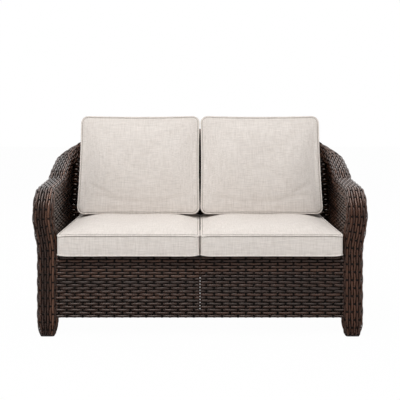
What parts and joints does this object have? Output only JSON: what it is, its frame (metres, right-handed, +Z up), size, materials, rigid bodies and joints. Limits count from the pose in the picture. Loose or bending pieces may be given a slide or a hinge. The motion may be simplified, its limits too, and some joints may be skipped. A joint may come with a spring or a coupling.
{
  "type": "patio loveseat",
  "caption": "Outdoor loveseat: dark woven resin over a tube frame, arms sweeping up into an arched back, light welted box seat cushions and loose back cushions.",
  "frame": {"origin": "on the floor, under the middle of the outline", "axes": "+X to the right as seen from the front, +Y to the rear, +Z up; a sitter faces -Y"},
  "size_m": [1.496, 0.8003, 0.9309],
  "materials": {
    "frame_metal": "dark brown powder coat over welded aluminium",
    "woven_resin": "very dark brown resin strand, woven, slightly glossy, a few browner and greyer strands",
    "foot_plastic": "moulded, near black",
    "glide_plastic": "black, smooth underside",
    "strap_webbing": "black elastic webbing",
    "rivet_metal": "plain",
    "cushion_cloth": "off-white outdoor cloth with a fine linen-like weave, matt",
    "cushion_foam": "open-cell foam",
    "welt_cloth": "cord covered in the cushion's cloth",
    "zip_tape": "closed plastic teeth on tape, cloth coloured",
    "zip_slider": "plain metal"
  },
  "bodies": {
    "frame": {"arm_tube_inner_left": "frame_metal", "arm_tube_inner_right": "frame_metal", "arm_tube_outer_left": "frame_metal", "arm_tube_outer_right": "frame_metal", "arm_wrap_left": "woven_resin", "arm_wrap_right": "woven_resin", "back_tube_front": "frame_metal", "back_tube_rear": "frame_metal", "back_uprights": "frame_metal", "back_wrap": "woven_resin", "foot_plug_front_left": "foot_plastic", "foot_plug_front_right": "foot_plastic", "foot_plug_rear_left": "foot_plastic", "foot_plug_rear_right": "foot_plastic", "glides_front": "glide_plastic", "glides_rear": "glide_plastic", "inner_back": "woven_resin", "inner_skin_left": "woven_resin", "inner_skin_right": "woven_resin", "rear_leg_wrap_left": "woven_resin", "rear_leg_wrap_right": "woven_resin", "rear_post_left": "frame_metal", "rear_post_right": "frame_metal", "rear_skin": "woven_resin", "rivets": "rivet_metal", "seat_rail_centre": "frame_metal", "seat_rail_front": "frame_metal", "seat_rail_left": "frame_metal", "seat_rail_rear": "frame_metal", "seat_rail_right": "frame_metal", "side_skin_left": "woven_resin", "side_skin_right": "woven_resin", "skirt_left": "woven_resin", "skirt_rail_front": "frame_metal", "skirt_right": "woven_resin", "skirt_ring": "frame_metal", "straps_cross": "strap_webbing", "straps_long": "strap_webbing"},
    "seat_cushion_left": {"seat_cover_left": "cushion_cloth", "seat_core_left": "cushion_foam", "seat_welts_left": "welt_cloth", "seat_zip_left": "zip_tape"},
    "seat_zip_pull_left": {"seat_slider_left": "zip_slider"},
    "seat_cushion_right": {"seat_cover_right": "cushion_cloth", "seat_core_right": "cushion_foam", "seat_welts_right": "welt_cloth", "seat_zip_right": "zip_tape"},
    "seat_zip_pull_right": {"seat_slider_right": "zip_slider"},
    "back_cushion_left": {"back_cover_left": "cushion_cloth", "back_core_left": "cushion_foam", "back_welts_left": "welt_cloth", "back_zip_left": "zip_tape"},
    "back_zip_pull_left": {"back_slider_left": "zip_slider"},
    "back_cushion_right": {"back_cover_right": "cushion_cloth", "back_core_right": "cushion_foam", "back_welts_right": "welt_cloth", "back_zip_right": "zip_tape"},
    "back_zip_pull_right": {"back_slider_right": "zip_slider"}
  },
  "joints": [
    {"name": "seat_slide_left", "type": "slide", "parent": "frame", "child": "seat_cushion_left", "axis": [0, -1, 0], "range_m": [0, 0.42]},
    {"name": "back_lift_left", "type": "slide", "parent": "frame", "child": "back_cushion_left", "axis": [0, 0.2588, 0.9659], "range_m": [0, 0.24]},
    {"name": "seat_slide_right", "type": "slide", "parent": "frame", "child": "seat_cushion_right", "axis": [0, -1, 0], "range_m": [0, 0.42]},
    {"name": "back_lift_right", "type": "slide", "parent": "frame", "child": "back_cushion_right", "axis": [0, 0.2588, 0.9659], "range_m": [0, 0.24]},
    {"name": "seat_zip_run_left", "type": "slide", "parent": "seat_cushion_left", "child": "seat_zip_pull_left", "axis": [1, 0, 0], "range_m": [0, 0.46]},
    {"name": "seat_zip_run_right", "type": "slide", "parent": "seat_cushion_right", "child": "seat_zip_pull_right", "axis": [-1, 0, 0], "range_m": [0, 0.46]},
    {"name": "back_zip_run_left", "type": "slide", "parent": "back_cushion_left", "child": "back_zip_pull_left", "axis": [1, 0, 0], "range_m": [0, 0.46]},
    {"name": "back_zip_run_right", "type": "slide", "parent": "back_cushion_right", "child": "back_zip_pull_right", "axis": [-1, 0, 0], "range_m": [0, 0.46]}
  ]
}
